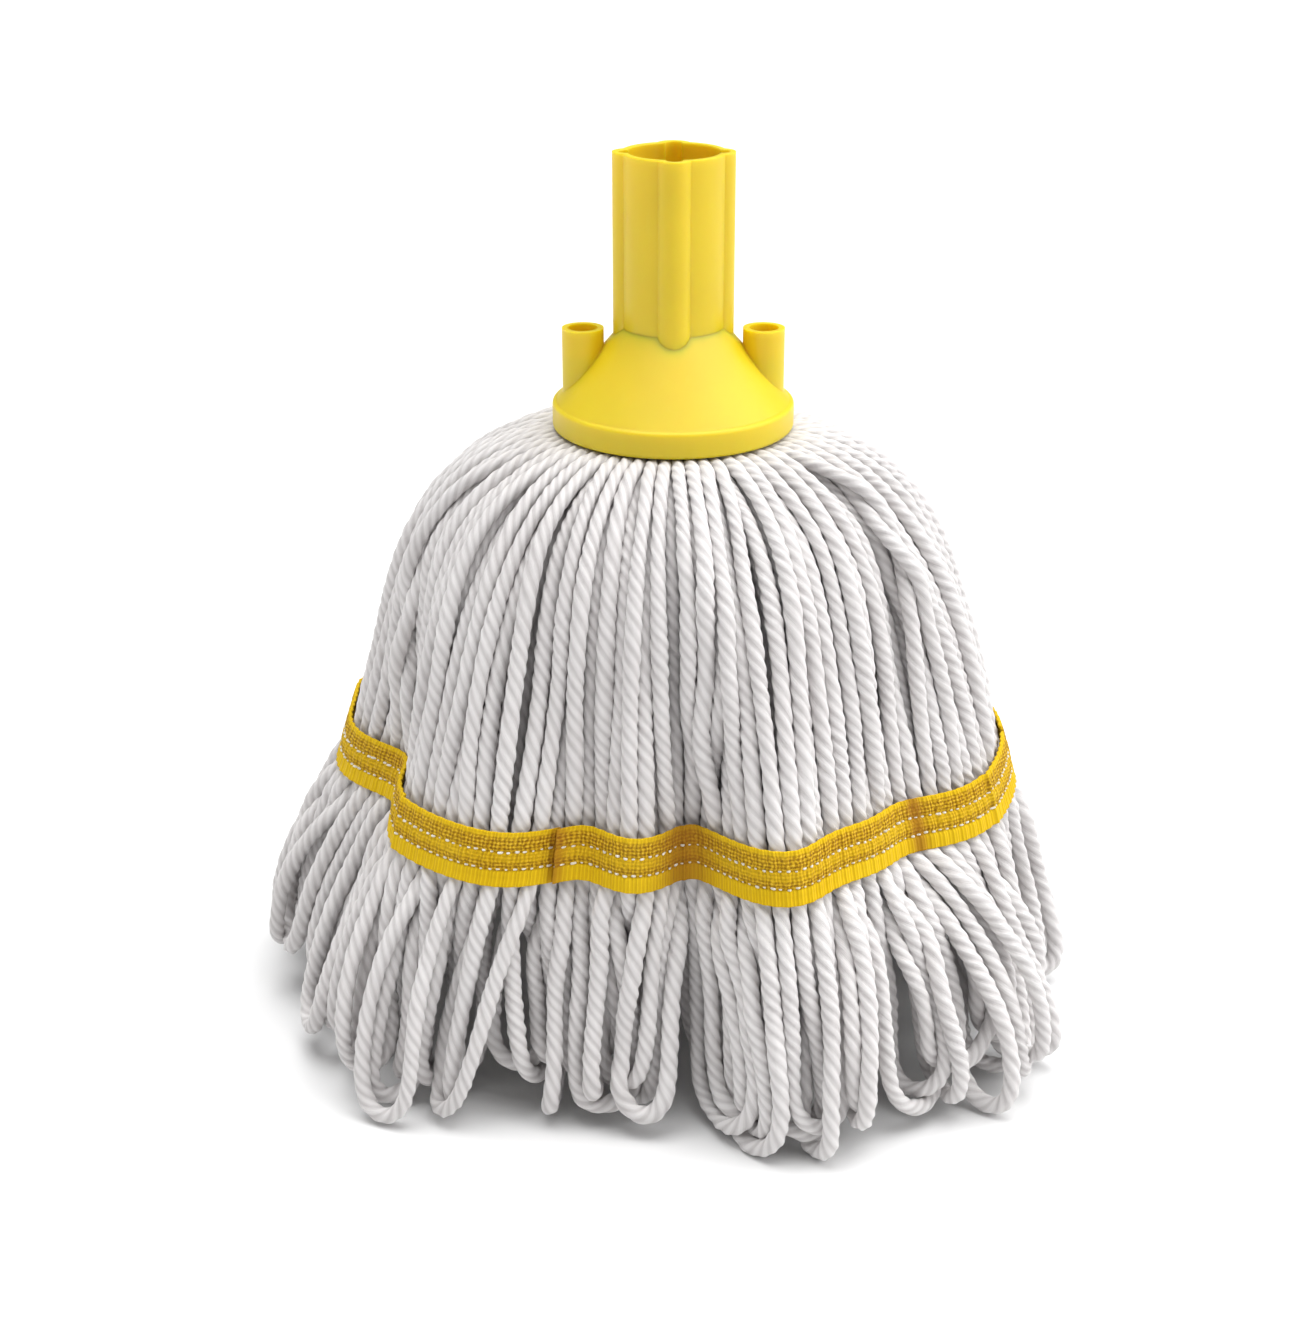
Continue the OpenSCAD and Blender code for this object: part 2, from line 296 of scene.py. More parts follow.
def loop_bottom(ends, depths, layer):
    """The stretch of a loop from the tape around the hem and back to the tape.

    Before relaxing no turn is tighter than the least radius, so a loop that joins close neighbours is turned
    about its own upright axis and keeps one leg inside."""
    centre = (ends[0] + ends[1]) / 2
    half = math.radians(ends[1] - ends[0]) / 2 * np.linalg.norm(skirt(centre, TAPE_PLACE, LOOP_SUNK)[:2])
    spread = half * RNG.uniform(1.1, 1.4)
    wide = max(RNG.uniform(*TURN_R), spread)
    turned = math.acos(min(1.0, spread / wide)) * RNG.choice((-1, 1)) + math.radians(RNG.uniform(-9, 9))
    fall = HEM_RUN - 0.3 - 12 * RNG.random() ** 1.8 - 1.2 * layer - bumps(centre, SHORTER)
    flare = bumps(centre, FLARES)
    swing = RNG.normal(0, 4.2) + bunched(centre)
    straight = fall - wide
    v = np.linspace(0, straight, LEG_POINTS)[1:]
    grow = smooth(v / straight) ** 1.1
    leg = half + (wide * math.cos(turned) - half) * grow
    angle = np.radians(np.linspace(-90, 90, TURN_POINTS)[1:-1])
    across = np.concatenate([-leg, wide * math.cos(turned) * np.sin(angle), leg[::-1]])
    down = np.concatenate([v, straight + wide * np.cos(angle), v[::-1]])
    aslant = wide * math.sin(turned)
    depth = np.concatenate([-aslant * grow, aslant * np.sin(angle), aslant * grow[::-1]])
    share = down / fall
    phase = RNG.uniform(0, 6.28, 3)
    loose = smooth(share * 1.3)
    curly = 1.8 * np.sin(3.6 * share + phase[0]) + 1.1 * np.sin(8 * share + phase[1])
    across = across + (swing + curly) * loose
    bulge = (4.5 + 0.3 * flare) * np.sin(math.pi * np.clip(share, 0, 1)) ** 1.5 + (3.0 + flare) * loose
    inward = (abs(aslant) + 4.4 * layer) * loose + depth - bulge + 0.9 * loose * np.sin(7 * share + phase[2])
    sewn = np.where(np.arange(len(down)) <= len(down) // 2, *depths)
    t = place_at_run(TAPE_RUN + down)
    r = np.linalg.norm(skirt(centre, t, LOOP_SUNK, inward)[..., :2], axis=-1)
    sunk = YARN_D / 2 + (sewn - YARN_D / 2) * (1 - smooth(down / 22)) + 0.6 * np.exp(-(down / 9) ** 2)
    return skirt(centre + np.degrees(across / r), t, sunk, inward)


def make_routes():
    """Every loop of yarn: its flap, its azimuth and the points that it follows before relaxing."""
    loops = []
    for flap, (start, sweep, count) in FLAPS.items():
        for strands, (layers, hem, further) in zip((count, INNER[flap]), COURSES):
            at_rim, at_tape = strand_azimuths(start, sweep, strands)
            for number, pair in enumerate(loop_pairs(strands, further)):
                own = [layers[k % len(layers)] for k in pair]
                ends = [at_tape[k] + math.degrees(ASIDE[layer] / TAPE_R) for k, layer in zip(pair, own)]
                bottom = loop_bottom(ends, [SEWN_DEPTH[layer] for layer in own], hem[number % len(hem)])
                left, right = (upper_strand(layer, at_rim[k], at_tape[k]) for k, layer in zip(pair, own))
                points = np.vstack([left, bottom, right[::-1]])
                loops.append({"flap": flap, "az": sum(at_tape[k] for k in pair) / 2, "points": points})
    return loops


# ---------------------------------------------------------------- relaxing
def resample(points, step):
    """Points evenly spaced along a line, close to step apart."""
    run = lengths_along(points)
    count = max(8, int(round(run[-1] / step)) + 1)
    even = np.linspace(0, run[-1], count)
    return np.stack([np.interp(even, run, points[:, k]) for k in range(3)], -1)


def close_pairs(points, loop, order, reach):
    """Pairs of beads nearer than reach that aren't neighbours on one strand."""
    cell = np.floor(points / reach).astype(np.int64)
    cell -= cell.min(0) - 1
    size = cell.max(0) + 2
    key = (cell[:, 0] * size[1] + cell[:, 1]) * size[2] + cell[:, 2]
    rank = np.argsort(key, kind="stable")
    ranked = key[rank]
    half = [(x, y, z) for x in (0, 1) for y in (-1, 0, 1) for z in (-1, 0, 1)
            if (x, y, z) > (0, 0, 0) or (x, y, z) == (0, 0, 0)]
    first, second = [], []
    for x, y, z in half:
        wanted = key + (x * size[1] + y) * size[2] + z
        low = np.searchsorted(ranked, wanted, "left")
        counts = np.searchsorted(ranked, wanted, "right") - low
        i = np.repeat(np.arange(len(key)), counts)
        j = rank[np.arange(counts.sum()) + np.repeat(low - np.cumsum(counts) + counts, counts)]
        if (x, y, z) == (0, 0, 0):
            i, j = i[i < j], j[i < j]
        first.append(i)
        second.append(j)
    i, j = np.concatenate(first), np.concatenate(second)
    apart = (loop[i] != loop[j]) | (np.abs(order[i] - order[j]) > 4)
    i, j = i[apart], j[apart]
    near = np.linalg.norm(points[i] - points[j], axis=1) < reach
    return i[near], j[near]


def added(index, values, count):
    return np.stack([np.bincount(index, values[:, k], count) for k in range(3)], -1)


def push_apart(points, i, j, radius, free):
    """Move two beads that overlap away from each other."""
    gap = points[i] - points[j]
    distance = np.maximum(np.linalg.norm(gap, axis=1), 1e-6)
    overlap = np.maximum((radius[i] + radius[j]) - distance, 0)
    push = gap * (PUSH * overlap / distance)[:, None]
    share = free[i] + free[j] + 1e-9
    move = added(i, push * (2 * free[i] / share)[:, None], len(points))
    move -= added(j, push * (2 * free[j] / share)[:, None], len(points))
    size = np.linalg.norm(move, axis=1)
    move *= np.minimum(1, MOST_PUSH / np.maximum(size, 1e-9))[:, None]
    points += move


def keep_lengths(points, link, rest, free):
    """Bring each step between two beads of a strand back to its length."""
    for odd in (0, 1):
        some = link[link % 2 == odd]
        length = rest[link % 2 == odd]
        gap = points[some + 1] - points[some]
        distance = np.maximum(np.linalg.norm(gap, axis=1), 1e-6)
        fix = gap * ((distance - length) / distance)[:, None]
        share = free[some] + free[some + 1] + 1e-9
        points[some] += fix * (free[some] / share)[:, None]
        points[some + 1] -= fix * (free[some + 1] / share)[:, None]


def keep_under_tape(points, sewn):
    az = np.degrees(np.arctan2(points[sewn, 1], points[sewn, 0]))
    surface = skirt(az, place_at_height(points[sewn, 2]), YARN_D / 2 + 0.3)
    out = np.linalg.norm(surface[:, :2], axis=1) / np.linalg.norm(points[sewn, :2], axis=1)
    points[sewn, :2] *= np.minimum(out, 1)[:, None]


def relax(loops, rounds):
    """Push strands out of each other while they keep their length, their bend and their seams."""
    beads = [resample(item["points"], BEAD) for item in loops]
    points = np.vstack(beads)
    loop = np.repeat(np.arange(len(beads)), [len(b) for b in beads])
    order = np.concatenate([np.arange(len(b)) for b in beads])
    home = points.copy()
    radius = YARN_D / 2 * kept_share(points[:, 2])
    free = np.ones(len(points))
    free[np.hypot(points[:, 0], points[:, 1]) < RIM_R + 3] = 0.0
    sewn = np.abs(points[:, 2] - TAPE_Z) < TAPE_W / 2 + 2
    free[sewn] = SEWN_FREEDOM
    drawn = np.where(sewn, TO_SEAM, TO_ROUTE)[:, None] * (free > 0)[:, None]
    link = np.flatnonzero(loop[1:] == loop[:-1])
    rest = np.linalg.norm(points[link + 1] - points[link], axis=1)
    middle = np.flatnonzero((loop[2:] == loop[:-2])) + 1
    for turn in range(rounds):
        if turn % 6 == 0:
            i, j = close_pairs(points, loop, order, YARN_D + MOST_PUSH)
        push_apart(points, i, j, radius, free)
        bend = points[middle - 1] + points[middle + 1] - 2 * points[middle]
        points[middle] += STRAIGHTEN * bend * np.minimum(free[middle], 1)[:, None]
        points += (home - points) * drawn
        keep_lengths(points, link, rest, free)
        points[:, 2] = np.maximum(points[:, 2], radius - 0.3)
        if turn % 6 == 5 or turn == rounds - 1:
            keep_under_tape(points, sewn)
        points[free == 0] = home[free == 0]
    edges = np.cumsum([0] + [len(b) for b in beads])
    for item, low, high in zip(loops, edges[:-1], edges[1:]):
        item["beads"] = points[low:high]


def spline(points, step):
    """A smooth curve near the beads: a uniform cubic B-spline, evenly resampled."""
    ends = np.vstack([2 * points[0] - points[1], points, 2 * points[-1] - points[-2]])
    u = np.linspace(0, 1, 5)[:-1][:, None, None]
    a, b, c, d = ends[:-3], ends[1:-2], ends[2:-1], ends[3:]
    curve = ((1 - u) ** 3 * a + (3 * u ** 3 - 6 * u * u + 4) * b
             + (-3 * u ** 3 + 3 * u * u + 3 * u + 1) * c + u ** 3 * d) / 6
    curve = curve.transpose(1, 0, 2).reshape(-1, 3)
    return resample(np.vstack([curve, points[-1]]), step)


# ---------------------------------------------------------------- meshes
def make_mesh(name, points, faces, uvs, material, body=None):
    """An object from points in millimetres, a list of face arrays and a matching list of UV arrays."""
    mesh = bpy.data.meshes.new(name)
    corners = np.concatenate([f.reshape(-1) for f in faces]).astype(np.int32)
    sizes = np.concatenate([np.full(len(f), f.shape[1]) for f in faces])
    mesh.vertices.add(len(points))
    mesh.vertices.foreach_set("co", (points * MM).astype(np.float32).reshape(-1))
    mesh.loops.add(len(corners))
    mesh.loops.foreach_set("vertex_index", corners)
    mesh.polygons.add(len(sizes))
    mesh.polygons.foreach_set("loop_start", np.concatenate([[0], np.cumsum(sizes)[:-1]]).astype(np.int32))
    mesh.update(calc_edges=True)
    mesh.polygons.foreach_set("use_smooth", np.ones(len(sizes), bool))
    layer = mesh.uv_layers.new(name="UVMap")
    layer.data.foreach_set("uv", np.concatenate([u.reshape(-1) for u in uvs]).astype(np.float32))
    mesh.materials.append(material)
    obj = bpy.data.objects.new(name, mesh)
    bpy.context.scene.collection.objects.link(obj)
    if body:
        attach(obj, body)
    return obj


def ring_faces(first, sides):
    """Quads from each ring of points to the next one; first is a column with each ring's first index."""
    k = np.arange(sides)
    after = (k + 1) % sides
    return np.stack([first + k, first + after, first + sides + after, first + sides + k], -1).reshape(-1, 4)


def end_caps(first, last, sides):
    """The faces that close tubes, from the index at which their first and their last ring start."""
    k = np.arange(sides)
    return np.vstack([first + k[::-1], last + k])


def frames_along(line):
    """Tangent and two normals at each point of a line, carried along without turning."""
    tangent = np.gradient(line, axis=0)
    tangent /= np.linalg.norm(tangent, axis=1)[:, None]
    normal = np.zeros_like(line)
    first = np.cross(tangent[0], (0.3, 0.2, 1.0))
    normal[0] = first / np.linalg.norm(first)
    for k in range(1, len(line)):
        n = normal[k - 1] - tangent[k] * np.dot(normal[k - 1], tangent[k])
        normal[k] = n / math.sqrt(np.dot(n, n))
    return tangent, normal, np.cross(tangent, normal)


def yarn_tube(line, phase, squeeze):
    """Points, faces and UVs of a twisted strand along a line, with a soft rise for every ply.

    squeeze is its share of the diameter at each point. No two plies are quite as full."""
    tangent, normal, other = frames_along(line)
    run = lengths_along(line)
    angle = np.arange(SIDES) * 2 * math.pi / SIDES
    rise = 0.065 * (1 + 0.35 * np.sin(run / 6.1 + 2 * phase))
    uneven = 0.035 * np.cos(2 * angle[None, :] + run[:, None] / 17.0 + 5 * phase)
    share = 0.935 + rise[:, None] * np.cos(PLIES * angle)[None, :] + uneven
    swell = 1 + 0.04 * np.sin(run / 9.0 + phase) + 0.02 * np.sin(run / 3.7 + 2 * phase)
    turn = phase - 2 * math.pi * run / LAY
    turn = turn + 0.9 * np.sin(run / 23.0 + phase) + 0.35 * np.sin(run / 7.1 + 3 * phase)
    a = angle[None, :] + turn[:, None]
    radius = (YARN_D / 2) * (squeeze * swell)[:, None] * share
    points = (line[:, None, :] + (radius * np.cos(a))[..., None] * normal[:, None, :]
              + (radius * np.sin(a))[..., None] * other[:, None, :]).reshape(-1, 3)
    last = len(line) - 1
    quads = ring_faces(np.arange(last)[:, None] * SIDES, SIDES)
    caps = end_caps(0, last * SIDES, SIDES)
    k = np.arange(SIDES)
    u = run / LAY + 7.3 * phase
    low, high = u[:-1, None] + 0 * k, u[1:, None] + 0 * k
    v0, v1 = k / SIDES + 0 * low, (k + 1) / SIDES + 0 * low
    quad_uv = np.stack([np.stack([low, v0], -1), np.stack([low, v1], -1), np.stack([high, v1], -1),
                        np.stack([high, v0], -1)], 2).reshape(-1, 4, 2)
    cap_uv = np.stack([np.full((2, SIDES), u[0]), np.full((2, SIDES), 0.5 / SIDES)], -1)
    return points, [quads, caps], [quad_uv, cap_uv]


def hank_name(flap, az):
    start, sweep, _ = FLAPS[flap]
    return f"{flap}_hank_{min(HANKS, int((az - start) / sweep * HANKS) + 1)}"


def make_yarn(material):
    loops = make_routes()
    relax(loops, ROUNDS)
    for item in loops:
        item["line"] = spline(item["beads"], RING)
        item["length"] = lengths_along(item["line"])[-1]
        item["reach"] = np.linalg.norm(item["line"][:, :2], axis=1).max()
    for number, item in enumerate(loops):
        line, flap = item["line"], item["flap"]
        thick = RNG.uniform(THINNEST, THICKEST)
        tube = yarn_tube(line, 2.4 * number, thick * kept_share(line[:, 2]))
        obj = make_mesh(f"yarn_{flap}_{number + 1:02d}", *tube, material)
        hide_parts(hank_name(flap, item["az"]))
        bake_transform(obj)


def make_gathered_yarn(material):
    """The stretch of the strands that the clamp plate grips, hidden between it and the socket."""
    reach, pitch, thick = 28.0, 4.2, 0.85
    points, faces, uvs, total = [], [[], []], [[], []], 0
    for layer in range(2):
        for x in np.arange(-19.0, 19.1, pitch):
            half = math.sqrt(reach ** 2 - x * x)
            y = np.arange(-half, half, 2 * RING)
            z = PLATE_TOP + 4.4 + 4.3 * layer + 0.4 * np.sin(y / 7)
            line = np.column_stack([x + 0.3 * np.sin(y / 9 + layer), y, z])
            p, f, t = yarn_tube(line, x + layer, np.full(len(line), thick))
            points.append(p)
            for kind in range(2):
                faces[kind].append(f[kind] + total)
                uvs[kind].append(t[kind])
            total += len(p)
    obj = make_mesh("gathered_yarn", np.vstack(points), [np.vstack(f) for f in faces],
                    [np.vstack(t) for t in uvs], material, "socket")
    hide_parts("yarn_core")


# ---------------------------------------------------------------- tapes and stitches
class Tape:
    """A sewn tape on the skirt: where it lies at a distance along it, across it and out from it."""

    def __init__(self, flap):
        start, sweep, count = FLAPS[flap]
        self.az = np.linspace(start + 0.6, start + sweep - 0.6, 1200)
        self.run = lengths_along(skirt(self.az, TAPE_PLACE, -TAPE_GAP))
        self.length = self.run[-1]
        self.pitch = self.length / (count - 1)

    def run_at(self, az):
        """Distance along the tape of an azimuth; far outside the tape for one that it doesn't reach."""
        return np.interp((az - self.az[0]) % 360 + self.az[0], self.az, self.run, -99, -99)

    def painted_fold_shade_at(self, along):
        """How much painted shade darkens the tape brown at distances along it: its folds are darker than the
        rest.
        """
        return sum(np.exp(-((along - self.run_at(where)) / half) ** 2) for where, half in PAINTED_FOLD_SHADES)

    def at(self, along, across, out):
        """Points at distances along, across from the upper edge, and out from the tape's inner face."""
        along, across, out = np.broadcast_arrays(along, across, out)
        az = np.interp(along, self.run, self.az)
        lift = 0.7 * np.sin(along / 31.0) + 0.5 * np.sin(along / 13.0 + 1.0)
        share = across / TAPE_W
        seam = sum(np.exp(-((share - s) / 0.055) ** 2) for s in SEAMS)
        ridge = 0.22 * np.cos(2 * math.pi * along / self.pitch)
        puff = 0.45 * np.sin(math.pi * np.clip(share, 0, 1)) - 0.42 * seam + ridge
        curl = 0.5 * smooth((share - 0.82) / 0.18) * (1 + np.sin(along / 17.0)) * 0.5
        for where, high in PLEATS:
            past = along - self.run_at(where)
            puff = puff + high * np.exp(-np.maximum(past, 0) / 5.0) * smooth(past / 1.4 + 0.5) * (past < 40)
        t = place_at_height(TAPE_Z + lift + TAPE_W / 2 - across)
        return skirt(az, t, -(TAPE_GAP + puff + curl + out))


def grid_faces(rows, columns):
    """Quads of a grid of points, row by row."""
    i = (np.arange(rows - 1)[:, None] * columns + np.arange(columns - 1)[None, :]).reshape(-1)
    return np.stack([i, i + columns, i + columns + 1, i + 1], -1)


def make_tape(flap, material):
    """A closed woven band: its section is a thin rounded strip, carried along the tape."""
    tape = Tape(flap)
    column, corner, outer, inner = 0.5, 0.15, 41, 9
    along = np.linspace(0, tape.length, int(tape.length / column))
    edge = np.concatenate([[0.0], np.linspace(corner, TAPE_W - corner, outer),
                           [TAPE_W], np.linspace(TAPE_W - corner, corner, inner)])
    out = np.concatenate([[TAPE_T / 2], np.full(outer, TAPE_T), [TAPE_T / 2], np.full(inner, 0.0)])
    points = tape.at(along[:, None], edge[None, :], out[None, :]).reshape(-1, 3)
    sides, last = len(edge), len(along) - 1
    quads = ring_faces(np.arange(last)[:, None] * sides, sides)
    caps = end_caps(0, last * sides, sides)
    uv = np.stack(np.broadcast_arrays(along[:, None], edge[None, :]), -1).reshape(-1, 2)
    uvs = [uv[quads], uv[caps]]
    obj = make_mesh(f"{flap}_tape_woven", points, [quads, caps], uvs, material, f"{flap}_flap")
    # painted shade at the tape's folds and pleats, kept on the mesh for its material
    painted_fold_shade = obj.data.attributes.new("painted_fold_shade", "FLOAT", "POINT")
    painted_fold_shade.data.foreach_set("value", np.repeat(np.clip(tape.painted_fold_shade_at(along), 0, 1), sides).astype(np.float32))
    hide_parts(f"{flap}_tape")
    return tape


def make_stitches(flap, tape, place, name, material):
    """One row of lockstitches: each is a short bead of thread that dips into the tape at both ends."""
    starts = np.arange(1.2, tape.length - STITCH - 1.2, STITCH + STITCH_GAP)
    starts = starts + RNG.uniform(-0.08, 0.08, len(starts))
    steps, sides = 7, 8
    share = np.linspace(0, 1, steps)
    angle = np.arange(sides) * 2 * math.pi / sides
    rise = TAPE_T - 0.12 + 0.42 * np.sin(math.pi * share)
    size = RNG.uniform(0.55, 1.05, len(starts))[:, None, None]
    thick = size * (THREAD_D / 2 * (0.55 + 0.45 * np.sin(math.pi * share) ** 0.5))[None, :, None]
    along = starts[:, None, None] + STITCH * size * share[None, :, None] + 0 * angle[None, None, :]
    across = place * TAPE_W + thick * np.cos(angle) + RNG.uniform(-0.2, 0.2, len(starts))[:, None, None]
    out = size * rise[None, :, None] + (1 - size) * TAPE_T * 0.9 + thick * np.sin(angle)
    points = tape.at(along, across, out).reshape(-1, 3)
    first = np.arange(len(starts))[:, None] * steps * sides
    quads = ring_faces((first + np.arange(steps - 1) * sides).reshape(-1, 1), sides)
    caps = end_caps(first, first + (steps - 1) * sides, sides)
    uv = np.stack([along / 3.0, np.broadcast_to(angle / 6.3, along.shape)], -1).reshape(-1, 2)
    obj = make_mesh(name + "_thread", points, [quads, caps], [uv[quads], uv[caps]], material, f"{flap}_flap")
    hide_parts(name)


def make_centre_tape(material):
    """The middle tape, flat under the gripped yarn between the two posts."""
    along, across = np.linspace(-21.5, 21.5, 90), np.linspace(-TAPE_W / 2, TAPE_W / 2, 30)
    top = PLATE_TOP + CENTRE_TAPE_GAP + 0.8 + 0.05 * np.sin(along[:, None] * 7) + 0 * across[None, :]
    grid = np.stack([along[:, None] + 0 * top, across[None, :] + 0 * top, top], -1).reshape(-1, 3)
    under = grid - (0, 0, 0.6)
    quads = grid_faces(len(along), len(across))
    points = np.vstack([grid, under])
    uv = np.tile(grid[:, :2] + (30, TAPE_W / 2), (2, 1))
    faces = np.vstack([quads, quads[:, ::-1] + len(grid)])
    obj = make_mesh("centre_tape_woven", points, [faces], [uv[faces]], material, "socket")
    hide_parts("centre_tape")


# ---------------------------------------------------------------- materials
class Shader:
    """A material's node tree, with one short call for each kind of node."""

    def __init__(self, name):
        self.material = bpy.data.materials.new(name)
        self.material.use_nodes = True
        self.nodes = self.material.node_tree.nodes
        self.links = self.material.node_tree.links
        self.surface = next(n for n in self.nodes if n.type == "BSDF_PRINCIPLED")

    def node(self, kind, inputs=(), **settings):
        made = self.nodes.new(kind)
        for name, value in settings.items():
            setattr(made, name, value)
        for socket, value in dict(inputs).items():
            self.put(made.inputs[socket], value)
        return made

    def put(self, socket, value):
        if isinstance(value, bpy.types.NodeSocket):
            self.links.new(value, socket)
        else:
            socket.default_value = value

    def math(self, operation, a, b=0.0):
        return self.node("ShaderNodeMath", {0: a, 1: b}, operation=operation).outputs[0]

    def noise(self, vector, scale, detail=3.0, roughness=0.55):
        made = self.node("ShaderNodeTexNoise", {"Vector": vector, "Scale": scale, "Detail": detail,
                                                "Roughness": roughness})
        return made.outputs["Fac"]

    def ramp(self, value, *stops):
        made = self.node("ShaderNodeValToRGB", {"Fac": value})
        elements = made.color_ramp.elements
        while len(elements) < len(stops):
            elements.new(0.5)
        for element, (place, colour) in zip(elements, stops):
            element.position = place
            element.color = (*colour, 1)
        return made.outputs["Color"]

    def mix(self, share, a, b, kind="MIX"):
        made = self.node("ShaderNodeMix", data_type="RGBA", blend_type=kind)
        for socket, value in ((made.inputs["Factor"], share), (made.inputs["A"], a), (made.inputs["B"], b)):
            value = (*value, 1) if isinstance(value, tuple) else value
            self.put(socket, value)
        return made.outputs["Result"]

    def bump(self, height, strength, distance, normal=None):
        inputs = {"Height": height, "Strength": strength, "Distance": distance}
        if normal:
            inputs["Normal"] = normal
        return self.node("ShaderNodeBump", inputs).outputs["Normal"]

    def uv(self):
        """The mesh's own coordinates along and across, as two values."""
        made = self.node("ShaderNodeTexCoord")
        split = self.node("ShaderNodeSeparateXYZ", {0: made.outputs["UV"]})
        return split.outputs["X"], split.outputs["Y"]

    def vector(self, x, y, z=0.0):
        return self.node("ShaderNodeCombineXYZ", {"X": x, "Y": y, "Z": z}).outputs[0]

    def place(self):
        return self.node("ShaderNodeTexCoord").outputs["Object"]

    def set(self, **values):
        for name, value in values.items():
            self.put(self.surface.inputs[name.replace("_", " ")], value)


def yarn_material():
    """Off-white twisted yarn: fibres run along each ply, and painted shade darkens the creases between plies.
    """
    s = Shader("yarn")
    u, v = s.uv()
    # 1 on each ply's crest and 0 in the creases between plies: the mask for painted shade in the creases
    ply_shade = s.math("COSINE", s.math("MULTIPLY", v, 2 * math.pi * PLIES))
    ply_shade = s.math("ADD", s.math("MULTIPLY", ply_shade, 0.5), 0.5)
    fibres = s.noise(s.vector(s.math("MULTIPLY", u, 3.4), s.math("MULTIPLY", v, 40.0)), 1.0, 4.0, 0.62)
    slubs = s.noise(s.vector(s.math("MULTIPLY", u, 1.6), s.math("MULTIPLY", v, 4.0)), 1.0, 3.0)
    soil = s.noise(s.place(), 26.0, 3.0)
    fuzz = s.noise(s.place(), 1300.0, 3.0, 0.7)
    ply_shade = s.math("ADD", ply_shade, s.math("MULTIPLY", s.math("SUBTRACT", slubs, 0.5), 0.7))
    # painted shade: the colour darkens from the plies' crests into the creases between them, with random
    # slubs
    body = s.ramp(ply_shade, (0.0, (0.48, 0.455, 0.45)), (0.4, (0.63, 0.605, 0.60)), (0.9, (0.78, 0.76, 0.755)))
    body = s.mix(0.35, body, s.ramp(fibres, (0.3, (0.52, 0.495, 0.49)), (0.7, (0.80, 0.78, 0.775))))
    body = s.mix(0.25, body, s.ramp(soil, (0.35, (0.56, 0.535, 0.53)), (0.65, (0.78, 0.765, 0.76))))
    height = s.math("ADD", s.math("MULTIPLY", fibres, 0.6), s.math("MULTIPLY", slubs, 1.1))
    height = s.math("ADD", height, s.math("MULTIPLY", fuzz, 0.35))
    s.set(Base_Color=body, Roughness=0.95, Sheen_Weight=0.08, Sheen_Roughness=0.5,
          Specular_IOR_Level=0.1, Normal=s.bump(height, 0.6, 0.0006))
    return s.material


def tape_material():
    """Yellow woven tape: rows of raised knots with painted shade in the brown gaps between them, and smooth
    fine-ribbed selvedges with painted shade in their rib troughs.
    """
    s = Shader("tape")
    along, across = s.uv()
    share = s.math("DIVIDE", across, TAPE_W)
    rib = s.math("SINE", s.math("MULTIPLY", along, 2 * math.pi / 1.1))
    drift = s.noise(s.vector(s.math("MULTIPLY", along, 0.35), s.math("MULTIPLY", across, 0.6)), 1.0, 2.0)
    turned = s.math("ADD", s.math("MULTIPLY", along, 2 * math.pi / 2.5), s.math("MULTIPLY", drift, 5.0))
    rows = s.math("MULTIPLY", across, 2 * math.pi / 2.1)
    knots = s.math("MULTIPLY", s.math("SINE", s.math("ADD", turned, rows)),
                   s.math("SINE", s.math("SUBTRACT", turned, rows)))
    grain = s.noise(s.vector(s.math("MULTIPLY", along, 0.9), s.math("MULTIPLY", across, 1.1)), 1.0, 4.0, 0.7)
    pattern = s.math("ADD", 0.12, s.math("MULTIPLY", grain, 0.9))
    pattern = s.math("ADD", s.math("MULTIPLY", knots, 0.20), pattern)
    woven = ((0.0, 0.0), (0.06, 0.2), (0.12, 1.0), (0.33, 1.0), (0.40, 0.5), (0.52, 0.55), (0.58, 1.0),
             (0.69, 0.9), (0.72, 0.03))      # place across the tape, and how much of the knots shows there
    zones = s.ramp(share, *((place, (shown,) * 3) for place, shown in woven))
    # painted shade: the low places of the weave, between the raised knots, go dark brown
    dark = s.ramp(pattern, (0.36, (0.13, 0.045, 0.003)), (0.53, (0.34, 0.17, 0.005)),
                  (0.68, (0.60, 0.35, 0.010)), (0.86, (0.82, 0.56, 0.06)))
    # painted shade: the selvedge's rib troughs are darker than its crests
    edge = s.ramp(rib, (0.0, (0.61, 0.38, 0.003)), (1.0, (0.76, 0.52, 0.007)))
    wear = s.noise(s.place(), 60.0, 3.0)
    colour = s.mix(zones, edge, dark)
    colour = s.mix(0.15, colour, s.ramp(wear, (0.35, (0.60, 0.34, 0.006)), (0.7, (0.90, 0.66, 0.04))))
    # painted shade: the tape turns brown at its folds and pleats
    painted_fold_shade = s.node("ShaderNodeAttribute", attribute_name="painted_fold_shade").outputs["Fac"]
    colour = s.mix(s.math("MULTIPLY", painted_fold_shade, 0.76), colour, (0.30, 0.115, 0.010))
    raised = s.math("MULTIPLY", s.math("MULTIPLY", pattern, zones), 1.3)
    height = s.math("ADD", s.math("MULTIPLY", rib, 0.2), raised)
    s.set(Base_Color=colour, Roughness=0.8, Sheen_Weight=0.03, Sheen_Roughness=0.4,
          Specular_IOR_Level=0.12, Normal=s.bump(height, 0.7, 0.0005))
    return s.material


def thread_material():
    """Off-white sewing thread with a fine twist."""
    s = Shader("thread")
    u, v = s.uv()
    twist = s.math("SINE", s.math("MULTIPLY", s.math("ADD", u, v), 60.0))
    fuzz = s.noise(s.place(), 900.0, 2.0)
    colour = s.ramp(fuzz, (0.3, (0.72, 0.68, 0.55)), (0.7, (0.90, 0.87, 0.78)))
    s.set(Base_Color=colour, Roughness=0.6, Sheen_Weight=0.2, Normal=s.bump(twist, 0.5, 0.0001))
    return s.material


